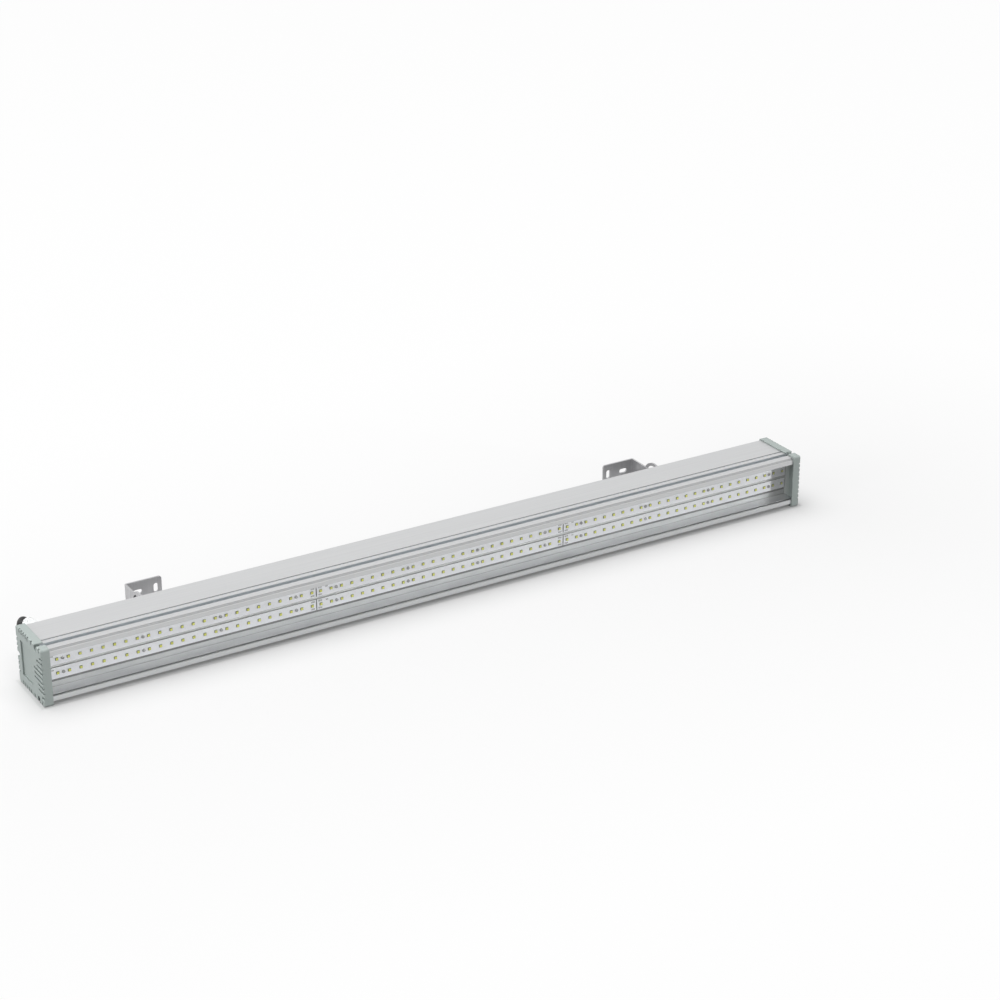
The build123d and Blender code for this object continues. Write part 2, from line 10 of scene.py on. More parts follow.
# %% Load the solids and measure the whole object
from math import cos, pi, radians, sin, tan, tau

import bmesh
import bpy
from mathutils import Matrix, Vector


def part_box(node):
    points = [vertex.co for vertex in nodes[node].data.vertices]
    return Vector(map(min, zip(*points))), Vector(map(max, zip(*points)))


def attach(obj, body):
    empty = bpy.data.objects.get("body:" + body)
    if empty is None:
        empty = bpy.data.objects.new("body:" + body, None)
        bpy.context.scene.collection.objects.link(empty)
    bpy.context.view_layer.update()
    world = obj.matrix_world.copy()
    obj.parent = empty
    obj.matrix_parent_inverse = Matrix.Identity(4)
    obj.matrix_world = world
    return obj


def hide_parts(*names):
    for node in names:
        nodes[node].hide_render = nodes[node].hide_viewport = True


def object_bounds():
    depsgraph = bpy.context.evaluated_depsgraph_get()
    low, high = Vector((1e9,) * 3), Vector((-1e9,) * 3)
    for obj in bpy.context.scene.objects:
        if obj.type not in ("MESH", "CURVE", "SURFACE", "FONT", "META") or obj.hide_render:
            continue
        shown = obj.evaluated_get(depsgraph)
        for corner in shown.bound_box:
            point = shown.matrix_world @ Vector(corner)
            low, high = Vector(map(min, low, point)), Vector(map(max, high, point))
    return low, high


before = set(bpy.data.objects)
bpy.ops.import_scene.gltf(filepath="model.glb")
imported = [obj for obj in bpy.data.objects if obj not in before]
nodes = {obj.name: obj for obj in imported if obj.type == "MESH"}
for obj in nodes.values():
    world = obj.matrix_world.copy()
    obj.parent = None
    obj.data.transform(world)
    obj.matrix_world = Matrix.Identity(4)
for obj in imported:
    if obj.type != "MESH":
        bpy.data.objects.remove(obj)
cad_low, cad_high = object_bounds()
scene = bpy.context.scene
MM = 0.001
HOUSING = "housing"
SIDES = ("left", "right")
ROWS = ("lower", "upper")
BOARDS = (1, 2, 3)
print("solids:", len(nodes), "size in mm:", [round(v / MM, 1) for v in cad_high - cad_low])

# %% [markdown]
# ## The camera
#
# The photograph looks down on the fixture from the front and the left. Lines along the
# fixture and across it meet at two vanishing points, and together they give the lens,
# the direction and the place of the camera. A long lens keeps the far end almost as
# large as the near one.

# %% Place the camera
CAMERA_PLACE = Vector((-1.281, -2.289, 1.282))
CAMERA_PITCH = radians(24.32)
CAMERA_HEADING = Vector((0.5186, 0.8551, 0.0))
CAMERA_LENS = 89.17
SENSOR_WIDTH = 36.0


def add_camera():
    """Create the camera that matches the photograph's view."""
    data = bpy.data.cameras.new("photo_camera")
    data.lens = CAMERA_LENS
    data.sensor_width = SENSOR_WIDTH
    camera = bpy.data.objects.new("photo_camera", data)
    scene.collection.objects.link(camera)
    camera.location = CAMERA_PLACE
    looking = CAMERA_HEADING.normalized() * cos(CAMERA_PITCH) - Vector((0, 0, sin(CAMERA_PITCH)))
    camera.rotation_mode = "QUATERNION"
    camera.rotation_quaternion = looking.to_track_quat("-Z", "Y")
    scene.camera = camera
    return camera


camera = add_camera()
print("camera", [round(v, 3) for v in camera.location], "lens", CAMERA_LENS)

# %% [markdown]
# ## Floor and light
#
# A product picture on white needs two things at once: a background that is pure white to
# the camera, and light that is plain enough to show colours as they are. The floor and
# the world therefore answer the camera, and what metal and glass mirror, with white of
# strength one, while the light that falls on the object stays lower. The floor's white
# glow is painted light. It is held low in a band a few millimetres wide around the
# housing, where the floor's colour is mostly real diffuse light, so the thin contact shadow
# there is partly real shade and partly painted shadow. From there the painted glow rises
# to white, first quickly and then slowly, and paints light over the wider shadow, which
# stays soft and pale.

# %% Helpers for shader trees


def add_node(tree, kind, inputs=None, **settings):
    """Add a shader node, set its options and fill or link its inputs."""
    node = tree.nodes.new(kind)
    for name, value in settings.items():
        setattr(node, name, value)
    for key, value in (inputs or {}).items():
        if isinstance(value, bpy.types.NodeSocket):
            tree.links.new(value, node.inputs[key])
        else:
            node.inputs[key].default_value = value
    return node


def calculate(tree, operation, *values):
    """Do one sum with numbers or sockets and return the socket of its result."""
    node = add_node(tree, "ShaderNodeMath", dict(enumerate(values)), operation=operation)
    return node.outputs[0]


def calculate_vector(tree, operation, *values, output="Vector"):
    """Do one sum with vectors and return the named socket of its result."""
    node = add_node(tree, "ShaderNodeVectorMath", dict(enumerate(values)), operation=operation)
    return node.outputs[output]


def mix_colours(tree, share, first, second, blend="MIX"):
    """Mix or blend a second colour over the first by a share, and return its socket."""
    inputs = {0: share, 6: first, 7: second}
    node = add_node(tree, "ShaderNodeMix", inputs, data_type="RGBA", blend_type=blend)
    return node.outputs[2]


def mix_shaders(tree, share, first, second, output="ShaderNodeOutputMaterial"):
    """Mix two shaders by a share and make the result the tree's surface."""
    inputs = {0: share, 1: first.outputs[0], 2: second.outputs[0]}
    mix = add_node(tree, "ShaderNodeMixShader", inputs)
    add_node(tree, output, {"Surface": mix.outputs[0]})


def seen_directly(tree):
    """A value of 1 for camera, mirrored and see-through rays, and 0 for lighting rays."""
    path = add_node(tree, "ShaderNodeLightPath").outputs
    either = calculate(tree, "MAXIMUM", path["Is Camera Ray"], path["Is Glossy Ray"])
    return calculate(tree, "MAXIMUM", either, path["Is Transmission Ray"])


# %% Make the world and the floor
WHITE = (1, 1, 1, 1)
WORLD_LIGHT = 0.2
FLOOR_GLOW_NEAR = 0.09
FLOOR_GLOW_FAR = 0.97
FLOOR_FADE = 0.6
FLOOR_FADE_POWER = 0.2
CONTACT_SHADOW = 4.0 * MM
FLOOR_SEEN = 0.7
FLOOR_LIGHTING = 0.18
FLOOR_SIZE = 14.0


def make_world():
    """A world that is white to look at and plain grey as a lamp."""
    world = bpy.data.worlds.new("studio")
    world.use_nodes = True
    tree = world.node_tree
    tree.nodes.clear()
    lamp = add_node(tree, "ShaderNodeBackground", {"Color": WHITE, "Strength": WORLD_LIGHT})
    shown = add_node(tree, "ShaderNodeBackground", {"Color": WHITE, "Strength": 1.0})
    mix_shaders(tree, seen_directly(tree), lamp, shown, output="ShaderNodeOutputWorld")
    scene.world = world


def distance_from_housing(tree):
    """How far a point of the floor is from a box a little wider than the housing."""
    low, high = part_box("housing_profile")
    middle = (0, (low.y + high.y) / 2, 0)
    half = (cad_high.x + CONTACT_SHADOW, (high.y - low.y) / 2 + CONTACT_SHADOW, 0)
    place = add_node(tree, "ShaderNodeTexCoord").outputs["Object"]
    centred = calculate_vector(tree, "SUBTRACT", place, middle)
    folded = calculate_vector(tree, "ABSOLUTE", centred)
    beyond = calculate_vector(tree, "SUBTRACT", folded, half)
    outside = calculate_vector(tree, "MAXIMUM", beyond, (0, 0, 0))
    return calculate_vector(tree, "LENGTH", outside, output="Value")


def make_floor():
    """A large pale floor under the fixture, which fades to white around the housing."""
    bm = bmesh.new()
    bmesh.ops.create_grid(bm, x_segments=1, y_segments=1, size=FLOOR_SIZE / 2)
    mesh = bpy.data.meshes.new("floor")
    bm.to_mesh(mesh)
    bm.free()
    floor = bpy.data.objects.new("floor", mesh)
    scene.collection.objects.link(floor)
    material = bpy.data.materials.new("floor_white")
    material.use_nodes = True
    tree = material.node_tree
    tree.nodes.clear()
    seen = seen_directly(tree)
    tone = mix_colours(tree, seen, (*[FLOOR_LIGHTING] * 3, 1), (*[FLOOR_SEEN] * 3, 1))
    paint = add_node(tree, "ShaderNodeBsdfDiffuse", {"Color": tone})
    glow = add_node(tree, "ShaderNodeEmission", {"Color": WHITE, "Strength": 1.0})
    # Painted light: the glow's share is low near the housing and rises with distance from it.
    part = calculate(tree, "DIVIDE", distance_from_housing(tree), FLOOR_FADE)
    curve = calculate(tree, "POWER", part, FLOOR_FADE_POWER)
    fade = add_node(
        tree,
        "ShaderNodeMapRange",
        {"Value": curve, "To Min": FLOOR_GLOW_NEAR, "To Max": FLOOR_GLOW_FAR},
    )
    share = calculate(tree, "MULTIPLY", seen, fade.outputs[0])
    mix_shaders(tree, share, paint, glow)
    mesh.materials.append(material)


make_world()
make_floor()
scene.view_settings.view_transform = "Standard"
print("world light", WORLD_LIGHT, "floor", FLOOR_SIZE, "m wide")

# %% [markdown]
# The photograph shows three lights. The top of the fixture is the brightest side, so a
# large softbox hangs over it. Its left end is lit more than its front, so a second one
# stands on the left. The right cap throws a sharp shadow on the last two LEDs of each
# row, while the upper lip throws none, so a small and distant key light shines from the
# front right, only a few degrees above the floor. A sun lamp does that evenly along the
# whole metre. Metal would mirror the lamps as hot spots that the photograph doesn't show,
# so mirrored rays pass them by and see the white studio alone.

# %% Add the lamps
SOFTBOXES = {
    "top_softbox": ((-0.2, 0.8, 2.6), (0.0, 0.0, 0.0), 2.4, 84.0),
    "left_softbox": ((-3.0, -0.3, 0.75), (0.0, 0.0, 0.05), 1.4, 49.0),
}
KEY_TOWARDS = Vector((0.77, -1.0, 0.12))
KEY_DISTANCE = 3.0
KEY_STRENGTH = 1.75
KEY_ANGLE = radians(3.0)


def add_lamp(name, kind, place, looking):
    """A lamp at a place, looking in a direction."""
    data = bpy.data.lights.new(name, kind)
    lamp = bpy.data.objects.new(name, data)
    scene.collection.objects.link(lamp)
    lamp.location = place
    lamp.rotation_mode = "QUATERNION"
    lamp.rotation_quaternion = looking.to_track_quat("-Z", "Y")
    lamp.visible_glossy = False
    return data


for name, (place, target, size, power) in SOFTBOXES.items():
    softbox = add_lamp(name, "AREA", place, Vector(target) - Vector(place))
    softbox.size = size
    softbox.energy = power
key = add_lamp("front_key", "SUN", KEY_TOWARDS * KEY_DISTANCE, -KEY_TOWARDS)
key.energy = KEY_STRENGTH
key.angle = KEY_ANGLE
print("lamps:", ", ".join(SOFTBOXES), "and front_key")

# %% [markdown]
# ## Effects that the finishes share
#
# Three effects come back in the materials, so each is a shader group that is built once.
# Grain is noise on the object's own coordinates: stretched along one axis it reads as
# drawing lines on metal, and even it reads as moulding texture. Rounded edges come from
# the bevel node, which bends the normals near a sharp edge of a solid, and the same bend
# also tells where an edge is, so that a painted highlight can make it a little brighter.
# Painted shade in crevices comes from ambient occlusion, which tells how much of the sky a
# point sees within a short reach.

# %% Build the shared groups
GRAIN_RANGE = (0.3, 0.7)
GRAIN_DETAIL = 4.0
EDGE_RANGE = (0.999, 0.8)
EDGE_SAMPLES = 6
GAP_RANGE = (0.95, 0.35)
GAP_SAMPLES = 8


def new_group(name, inputs, outputs):
    """A shader group with its named sockets, and its two end nodes."""
    group = bpy.data.node_groups.new(name, "ShaderNodeTree")
    for socket_name, kind, value in inputs:
        socket = group.interface.new_socket(socket_name, in_out="INPUT", socket_type=kind)
        socket.default_value = value
    for socket_name, kind in outputs:
        group.interface.new_socket(socket_name, in_out="OUTPUT", socket_type=kind)
    return group, group.nodes.new("NodeGroupInput"), group.nodes.new("NodeGroupOutput")


def make_grain_group():
    """Noise that varies colour, roughness and height together."""
    group, given, result = new_group(
        "grain",
        [
            ("Scale", "NodeSocketVector", (900, 900, 900)),
            ("Light colour", "NodeSocketColor", (0.7, 0.7, 0.7, 1)),
            ("Dark colour", "NodeSocketColor", (0.6, 0.6, 0.6, 1)),
            ("Smooth", "NodeSocketFloat", 0.3),
            ("Rough", "NodeSocketFloat", 0.45),
        ],
        [
            ("Colour", "NodeSocketColor"),
            ("Roughness", "NodeSocketFloat"),
            ("Height", "NodeSocketFloat"),
        ],
    )
    given = given.outputs
    place = add_node(group, "ShaderNodeTexCoord").outputs["Object"]
    mapping = add_node(group, "ShaderNodeMapping", {"Vector": place, "Scale": given["Scale"]})
    noise = add_node(
        group,
        "ShaderNodeTexNoise",
        {"Vector": mapping.outputs[0], "Scale": 1.0, "Detail": GRAIN_DETAIL},
    )
    spread = add_node(
        group,
        "ShaderNodeMapRange",
        {"Value": noise.outputs[0], "From Min": GRAIN_RANGE[0], "From Max": GRAIN_RANGE[1]},
    ).outputs[0]
    colour = mix_colours(group, spread, given["Light colour"], given["Dark colour"])
    rough = add_node(
        group,
        "ShaderNodeMapRange",
        {"Value": spread, "To Min": given["Smooth"], "To Max": given["Rough"]},
    )
    group.links.new(colour, result.inputs["Colour"])
    group.links.new(rough.outputs[0], result.inputs["Roughness"])
    group.links.new(noise.outputs[0], result.inputs["Height"])
    return group


def make_edge_group():
    """Rounded normals near sharp edges, and a mask of where those edges are."""
    group, given, result = new_group(
        "soft_edges",
        [("Radius", "NodeSocketFloat", 0.0004)],
        [("Normal", "NodeSocketVector"), ("Mask", "NodeSocketFloat")],
    )
    bevel = add_node(
        group, "ShaderNodeBevel", {"Radius": given.outputs["Radius"]}, samples=EDGE_SAMPLES
    ).outputs[0]
    flat = add_node(group, "ShaderNodeNewGeometry").outputs["True Normal"]
    bend = calculate_vector(group, "DOT_PRODUCT", bevel, flat, output="Value")
    mask = add_node(
        group,
        "ShaderNodeMapRange",
        {"Value": bend, "From Min": EDGE_RANGE[0], "From Max": EDGE_RANGE[1]},
    )
    group.links.new(bevel, result.inputs["Normal"])
    group.links.new(mask.outputs[0], result.inputs["Mask"])
    return group


def make_crevice_group():
    """A mask of narrow gaps where little light gets in, for painting shade into them."""
    group, given, result = new_group(
        "crevices",
        [("Reach", "NodeSocketFloat", 0.003), ("Darkness", "NodeSocketFloat", 0.5)],
        [("Mask", "NodeSocketFloat")],
    )
    given = given.outputs
    open_sky = add_node(
        group, "ShaderNodeAmbientOcclusion", {"Distance": given["Reach"]}, samples=GAP_SAMPLES
    )
    gap = add_node(
        group,
        "ShaderNodeMapRange",
        {
            "Value": open_sky.outputs["AO"],
            "From Min": GAP_RANGE[0],
            "From Max": GAP_RANGE[1],
            "To Max": given["Darkness"],
        },
    )
    group.links.new(gap.outputs[0], result.inputs["Mask"])
    return group


grain_group = make_grain_group()
edge_group = make_edge_group()
crevice_group = make_crevice_group()
print("groups:", ", ".join(group.name for group in bpy.data.node_groups))

# %% [markdown]
# ## One recipe for the solid finishes
#
# Aluminium, sheet steel, zinc, nylon and moulded plastic differ in numbers more than in
# kind. One function takes the two colours of the grain, its scale along each axis, the
# range of roughness and the depth of the bump, and returns a material. The scale is in
# waves per metre, so a small number along X draws long lines along the fixture. Edges get
# a painted highlight, a little brighter than the face, and where a finish asks for it,
# painted shade darkens its gaps.

# %% The recipe
# Painted shade: the share of the light colour that a finish's gaps keep.
CREVICE_SHADE_TONE = 0.25


def use_group(tree, group, inputs):
    """Place a shader group in a material and fill its inputs."""
    return add_node(tree, "ShaderNodeGroup", inputs, node_tree=group)


def make_finish(
    name, light, dark, scale, smooth, rough, depth,
    metallic=0.0, edge=0.0004, edge_highlight_gain=1.15, crevice_shade=0.0, reach=0.002,
):
    """A material with grain in its colour, roughness and height, and soft edges with a painted
    highlight.
    """
    material = bpy.data.materials.new(name)
    material.use_nodes = True
    tree = material.node_tree
    shader = tree.nodes["Principled BSDF"]
    shader.inputs["Metallic"].default_value = metallic
    grain = use_group(
        tree,
        grain_group,
        {
            "Scale": scale,
            "Light colour": (*light, 1),
            "Dark colour": (*dark, 1),
            "Smooth": smooth,
            "Rough": rough,
        },
    ).outputs
    edges = use_group(tree, edge_group, {"Radius": edge}).outputs
    # Painted highlight: near an edge the colour turns to a brighter copy of the light colour.
    edge_highlight = [min(1.0, channel * edge_highlight_gain) for channel in light]
    colour = mix_colours(tree, edges["Mask"], grain["Colour"], (*edge_highlight, 1))
    bump = add_node(
        tree,
        "ShaderNodeBump",
        {"Height": grain["Height"], "Distance": depth, "Strength": 1.0, "Normal": edges["Normal"]},
    )
    # Painted shade: gaps that see little sky within the reach turn to a darker copy.
    if crevice_shade:
        gaps = use_group(tree, crevice_group, {"Reach": reach, "Darkness": crevice_shade})
        crevice_shaded = [channel * CREVICE_SHADE_TONE for channel in light]
        colour = mix_colours(tree, gaps.outputs["Mask"], colour, (*crevice_shaded, 1))
    tree.links.new(colour, shader.inputs["Base Color"])
    tree.links.new(grain["Roughness"], shader.inputs["Roughness"])
    tree.links.new(bump.outputs[0], shader.inputs["Normal"])
    return material


# %% The finishes of the solids
aluminium = make_finish(
    "anodised_aluminium", (0.60, 0.605, 0.61), (0.57, 0.575, 0.58), (6, 900, 900),
    0.36, 0.44, 3e-6, metallic=0.7, crevice_shade=0.22,
)
cap_plastic = make_finish(
    "cap_plastic", (0.375, 0.42, 0.405), (0.35, 0.395, 0.38), (1400, 1400, 1400),
    0.5, 0.66, 1.2e-5, edge=0.0005, crevice_shade=0.1,
)
sheet_steel = make_finish(
    "bracket_steel", (0.53, 0.53, 0.54), (0.48, 0.48, 0.49), (240, 240, 24),
    0.3, 0.5, 6e-6, metallic=0.85,
)
zinc = make_finish(
    "zinc_plated", (0.62, 0.62, 0.61), (0.5, 0.5, 0.5), (700, 700, 700),
    0.25, 0.4, 6e-6, metallic=0.95, edge=0.0002,
)
screw_steel = make_finish(
    "screw_steel", (0.4, 0.4, 0.395), (0.3, 0.3, 0.3), (900, 900, 900),
    0.28, 0.4, 6e-6, metallic=0.7, edge=0.0002, edge_highlight_gain=1.3,
)
nylon = make_finish(
    "white_nylon", (0.8, 0.81, 0.81), (0.74, 0.75, 0.75), (500, 500, 500),
    0.35, 0.5, 8e-6,
)
seal_rubber = make_finish(
    "seal_rubber", (0.33, 0.335, 0.34), (0.28, 0.285, 0.29), (800, 800, 800),
    0.55, 0.75, 1e-5,
)
board_white = make_finish(
    "board_white", (0.92, 0.915, 0.95), (0.89, 0.885, 0.92), (300, 300, 300),
    0.3, 0.4, 2e-6, edge=0.0002,
)
driver_case = make_finish(
    "driver_case", (0.74, 0.74, 0.72), (0.68, 0.68, 0.66), (900, 900, 900),
    0.45, 0.6, 1e-5,
)
terminal_plastic = make_finish(
    "terminal_plastic", (0.75, 0.72, 0.62), (0.7, 0.67, 0.57), (900, 900, 900),
    0.4, 0.55, 1e-5,
)
cable_sheath = make_finish(
    "cable_sheath", (0.014, 0.014, 0.015), (0.009, 0.009, 0.01), (1200, 1200, 1200),
    0.38, 0.52, 1.5e-5,
)
sheath_shader = cable_sheath.node_tree.nodes["Principled BSDF"]
sheath_shader.inputs["Specular IOR Level"].default_value = 0.2

# %% The finishes of the small pieces
FINE = (2500, 2500, 2500)
led_case = make_finish(
    "led_case", (0.13, 0.13, 0.08), (0.1, 0.1, 0.06), FINE,
    0.4, 0.55, 3e-6, edge=0.00006, edge_highlight_gain=1.6,
)
phosphor = make_finish(
    "led_phosphor", (0.76, 0.78, 0.065), (0.7, 0.71, 0.05), FINE,
    0.3, 0.45, 5e-6, edge=0.00006,
)
tin = make_finish(
    "tinned_pad", (0.42, 0.42, 0.41), (0.24, 0.24, 0.24), (1800, 1800, 1800),
    0.25, 0.45, 1e-5, metallic=0.9, edge=0.00008,
)
# The land's dark colour is partly painted shade around each LED.
solder_land_painted_shade = make_finish(
    "solder_land_painted_shade", (0.3, 0.3, 0.24), (0.24, 0.24, 0.19), FINE,
    0.4, 0.55, 5e-6, metallic=0.3, edge=0.00005,
)
ink = make_finish(
    "board_ink", (0.045, 0.045, 0.05), (0.03, 0.03, 0.035), FINE,
    0.5, 0.65, 1e-6, edge=0.00005,
)
ceramic = make_finish(
    "resistor_ceramic", (0.5, 0.5, 0.49), (0.42, 0.42, 0.41), FINE,
    0.35, 0.5, 3e-6, edge=0.00006,
)
copper = make_finish(
    "bare_copper", (0.72, 0.36, 0.2), (0.6, 0.27, 0.14), FINE,
    0.25, 0.4, 5e-6, metallic=1.0, edge=0.00008,
)
WIRE_COLOURS = {
    "wire_brown": ((0.17, 0.07, 0.035), (0.13, 0.05, 0.025)),
    "wire_blue": ((0.03, 0.13, 0.42), (0.02, 0.1, 0.34)),
    "wire_green": ((0.3, 0.45, 0.05), (0.05, 0.26, 0.06)),
}
wires = [
    make_finish(name, light, dark, (1500, 1500, 1500), 0.4, 0.55, 5e-6, edge=0.0001)
    for name, (light, dark) in WIRE_COLOURS.items()
]
print("finishes:", len(bpy.data.materials))

# %% [markdown]
# The boards are white only on their faces. Their cut edges show the grey core, and a mask
# made from the direction of each face keeps the white paint off them.

# %% Leave the boards' edges bare
BOARD_CORE = (0.2, 0.2, 0.19)
FACES_FRONT = 0.7


def bare_edges(material):
    """Give the faces that don't look along Y the colour of the board's core."""
    tree = material.node_tree
    shader = tree.nodes["Principled BSDF"]
    colour = shader.inputs["Base Color"].links[0].from_socket
    facing = add_node(tree, "ShaderNodeNewGeometry").outputs["True Normal"]
    parts = add_node(tree, "ShaderNodeSeparateXYZ", {0: facing})
    along_y = calculate(tree, "ABSOLUTE", parts.outputs["Y"])
    painted = calculate(tree, "GREATER_THAN", along_y, FACES_FRONT)
    mixed = mix_colours(tree, painted, (*BOARD_CORE, 1), colour)
    tree.links.new(mixed, shader.inputs["Base Color"])


bare_edges(board_white)

# %% [markdown]
# Light and shade are painted into the housing's colour in bands along the profile. The
# wall that carries the boards gets painted shade, with a painted shadow just below the lower
# board, and a thin line of painted shade runs along the top at a groove. The lower lip and
# the floor of the light channel get painted light, and the grooves in the top and the
# bottom get a pale, slightly blue painted light that lifts their shade. Each of these is a
# band along the whole profile, so a mask for it needs only a box across Y and Z: its
# middle and half its size along each, and then the tone that multiplies the colour.

# %% Tone the bands of the profile
board_low, board_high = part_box("led_board_lower_1")
profile_low, profile_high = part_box("housing_profile")
profile_middle = (profile_low + profile_high) / 2
WALL_HALF = 24.5 * MM
STRIP_HEIGHT = 3.4 * MM
CHANNEL_FLOOR = 9.8 * MM
CHANNEL_HALF = 10.0 * MM
LIP_HEIGHT = 9.3 * MM
LIP_FOOT = 5.0 * MM
TOP_LINE_Y = -45.0 * MM
TOP_LINE_HALF = 0.9 * MM
GROOVES_Y = -52.0 * MM
GROOVES_HALF = 11.0 * MM
GROOVE_DEPTH = 3.6 * MM
# Painted light, slightly blue, that lifts the shade inside the grooves.
GROOVE_PAINTED_LIGHT = (1.25, 1.29, 1.31)
BAND_EDGE = 0.3 * MM
groove_lift = profile_high.z - profile_middle.z - GROOVE_DEPTH - BAND_EDGE / 2
channel_middle = (profile_low.y + board_high.y) / 2
strip_middle = board_low.z - STRIP_HEIGHT / 2
middle_z = profile_middle.z
BANDS = {
    # Painted shade on the wall that carries the boards.
    "wall_painted_shade": (board_high.y, BAND_EDGE, middle_z, WALL_HALF, (0.9, 0.9, 0.9)),
    # Painted shadow just below the lower board.
    "line": (board_high.y, BAND_EDGE, strip_middle, STRIP_HEIGHT / 2, (0.25, 0.25, 0.25)),
    # Painted shade in a thin line along the top, at a groove.
    "top_painted_shade": (TOP_LINE_Y, TOP_LINE_HALF, profile_high.z, BAND_EDGE, (0.55, 0.55, 0.53)),
    # Painted light on the lower lip and on its foot.
    "lower_lip_painted_light": (profile_low.y, BAND_EDGE, LIP_HEIGHT / 2, LIP_HEIGHT / 2, (1.13, 1.14, 1.14)),
    "lip_foot_painted_light": (profile_low.y, BAND_EDGE, LIP_FOOT / 2, LIP_FOOT / 2, (1.18, 1.18, 1.18)),
    # Painted light on the floor of the light channel.
    "channel_floor_painted_light": (channel_middle, CHANNEL_HALF, CHANNEL_FLOOR, BAND_EDGE, (1.35, 1.35, 1.36)),
    # Painted light inside the grooves of the top and the bottom.
    "top_grooves_painted_light": (GROOVES_Y, GROOVES_HALF, middle_z + groove_lift, GROOVE_DEPTH, GROOVE_PAINTED_LIGHT),
    "bottom_grooves_painted_light": (GROOVES_Y, GROOVES_HALF, middle_z - groove_lift, GROOVE_DEPTH, GROOVE_PAINTED_LIGHT),
}


def tone_bands(material, bands):
    """Multiply a finish's colour by a tone inside each band of the profile: painted light and
    shade.
    """
    tree = material.node_tree
    shader = tree.nodes["Principled BSDF"]
    colour = shader.inputs["Base Color"].links[0].from_socket
    place = add_node(tree, "ShaderNodeTexCoord").outputs["Object"]
    parts = add_node(tree, "ShaderNodeSeparateXYZ", {0: place}).outputs
    for y, half_depth, z, half_height, tone in bands.values():
        in_depth = calculate(tree, "COMPARE", parts["Y"], y, half_depth)
        in_height = calculate(tree, "COMPARE", parts["Z"], z, half_height)
        inside = calculate(tree, "MULTIPLY", in_depth, in_height)
        colour = mix_colours(tree, inside, colour, (*tone, 1), blend="MULTIPLY")
    tree.links.new(colour, shader.inputs["Base Color"])


tone_bands(aluminium, BANDS)
print("bands:", ", ".join(BANDS))

# %% [markdown]
# ## The pane
#
# The front pane is clear glass, so the boards show through it and it mirrors a little of
# the white studio. Glass in a path tracer makes caustic noise and dark shadows, so the
# rays that carry light, which are the shadow rays and those that leave a matt surface,
# go through it almost as through air. That lets the lamps light the boards behind it,
# and only what the camera sees is bent and mirrored.

# %% Make the glass


def make_glass():
    """Clear glass that bends what is seen and lets the light itself through."""
    material = bpy.data.materials.new("clear_glass")
    material.use_nodes = True
    tree = material.node_tree
    tree.nodes.clear()
    glass = add_node(
        tree,
        "ShaderNodeBsdfPrincipled",
        {
            "Base Color": (0.985, 0.995, 0.99, 1),
            "Roughness": 0.01,
            "IOR": 1.5,
            "Transmission Weight": 1.0,
        },
    )
    clear = add_node(tree, "ShaderNodeBsdfTransparent", {"Color": (0.985, 0.99, 0.99, 1)})
    path = add_node(tree, "ShaderNodeLightPath").outputs
    lighting = calculate(tree, "MAXIMUM", path["Is Shadow Ray"], path["Is Diffuse Ray"])
    mix_shaders(tree, lighting, glass, clear)
    return material


glass = make_glass()

# %% Dress the solids that stay
FINISH_OF_NODE = {
    "housing_profile": aluminium,
    "driver_tray": aluminium,
    "front_pane": glass,
    "driver": driver_case,
    "terminal_block": terminal_plastic,
    "driver_screws": zinc,
    "gland_body": nylon,
    "gland_lock_nut": nylon,
    "gland_seal": seal_rubber,
}
for side in SIDES:
    FINISH_OF_NODE[f"end_cap_{side}"] = cap_plastic
    FINISH_OF_NODE[f"end_gasket_{side}"] = seal_rubber
    for kind in ("base_bracket", "swivel_arm"):
        FINISH_OF_NODE[f"{kind}_{side}"] = sheet_steel
for row in ROWS:
    FINISH_OF_NODE[f"pane_seal_{row}"] = seal_rubber
    for number in BOARDS:
        FINISH_OF_NODE[f"led_board_{row}_{number}"] = board_white

for node_name, material in FINISH_OF_NODE.items():
    materials = nodes[node_name].data.materials
    materials.clear()
    materials.append(material)
left_over = sorted(set(nodes) - set(FINISH_OF_NODE))
print("dressed", len(FINISH_OF_NODE), "of", len(nodes), "solids; left:", left_over)

# %% [markdown]
# ## Tools for the small pieces
#
# The small pieces are all made of a few basic forms: boxes, turned profiles and prisms.
# The helpers below make those forms with mesh operators, cut one closed form with
# another, and copy a finished form to many places. A copied form is built once, so every
# LED and every screw is the same shape, as in a real product.

# %% Basic forms
SAME_POINT = 1e-6


def add_box(bm, centre, size, material=0):
    """Add a box and return its faces."""
    matrix = Matrix.Translation(centre) @ Matrix.Diagonal((*size, 1.0))
    made = bmesh.ops.create_cube(bm, size=1.0, matrix=matrix)
    faces = list({face for vert in made["verts"] for face in vert.link_faces})
    for face in faces:
        face.material_index = material
    return faces


def break_edges(bm, faces, width, steps=1):
    """Bevel every edge of a box, given its faces."""
    edges = list({edge for face in faces for edge in face.edges})
    bmesh.ops.bevel(
        bm, geom=edges, offset=width, segments=steps, profile=0.5, affect="EDGES", material=-1
    )


def add_cone(bm, segments, low_radius, high_radius, low, high, turn=0.0, material=0):
    """Add a cone, cylinder or prism along Z, from one height to another."""
    matrix = Matrix.Translation((0, 0, (low + high) / 2)) @ Matrix.Rotation(turn, 4, "Z")
    made = bmesh.ops.create_cone(
        bm,
        cap_ends=True,
        segments=segments,
        radius1=low_radius,
        radius2=high_radius,
        depth=high - low,
        matrix=matrix,
    )
    for face in {face for vert in made["verts"] for face in vert.link_faces}:
        face.material_index = material


